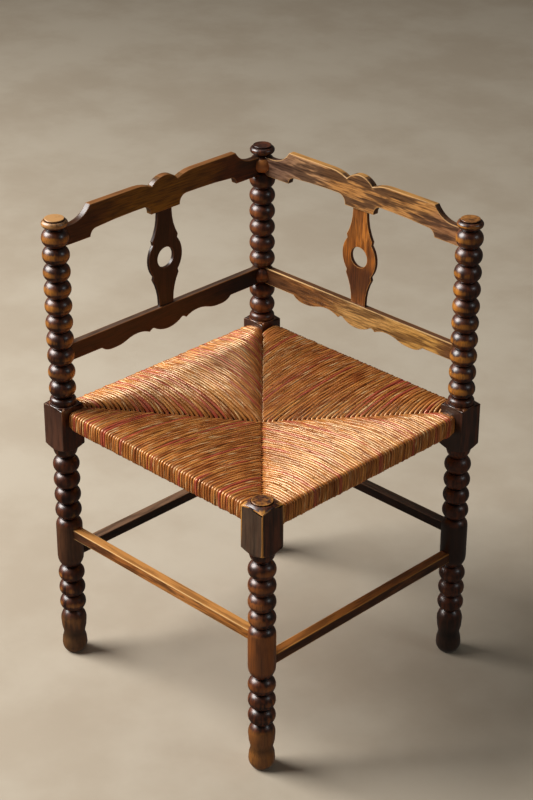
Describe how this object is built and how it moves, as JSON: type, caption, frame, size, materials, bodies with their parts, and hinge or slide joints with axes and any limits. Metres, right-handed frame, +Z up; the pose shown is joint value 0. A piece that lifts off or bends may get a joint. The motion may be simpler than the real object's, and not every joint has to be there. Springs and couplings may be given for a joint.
{
  "type": "corner chair",
  "caption": "Wooden corner chair with bobbin-turned posts, shaped crest rails, pierced splats, square stretchers and a rush seat in triangular fields.",
  "frame": {"origin": "on the floor under the middle of the square that the posts stand on, at the bottom centre of the bounding box", "axes": "+Z up, the sides of the chair along X and Y, the front post towards +X and -Y, the back post towards -X and +Y"},
  "size_m": [0.487, 0.487, 0.7904],
  "materials": {
    "turned_wood": "dark stained and waxed, worn lighter on the beads",
    "crest_wood": "dark stained and waxed, worn to golden brown",
    "splat_wood": "dark stained and waxed",
    "stretcher_wood": "stained and waxed, worn on the edges",
    "frame_wood": "bare, hidden under the rush",
    "rush": "twisted rush, varnished by use",
    "loose_rush": "loose rush packing"
  },
  "bodies": {
    "root": {"post_left": "turned_wood", "post_front": "turned_wood", "post_right": "turned_wood", "post_back": "turned_wood", "stretcher_front_left": "stretcher_wood", "stretcher_front_right": "stretcher_wood", "stretcher_back_right": "stretcher_wood", "stretcher_back_left": "stretcher_wood", "seat_rail_front_left": "frame_wood", "seat_rail_front_right": "frame_wood", "seat_rail_back_right": "frame_wood", "seat_rail_back_left": "frame_wood", "rush_front_left": "rush", "rush_front_right": "rush", "rush_back_right": "rush", "rush_back_left": "rush", "stuffing_front_left": "loose_rush", "stuffing_front_right": "loose_rush", "stuffing_back_right": "loose_rush", "stuffing_back_left": "loose_rush", "crest_rail_left": "crest_wood", "crest_rail_right": "crest_wood", "lower_back_rail_left": "crest_wood", "lower_back_rail_right": "crest_wood", "splat_left": "splat_wood", "splat_right": "splat_wood"}
  },
  "joints": []
}
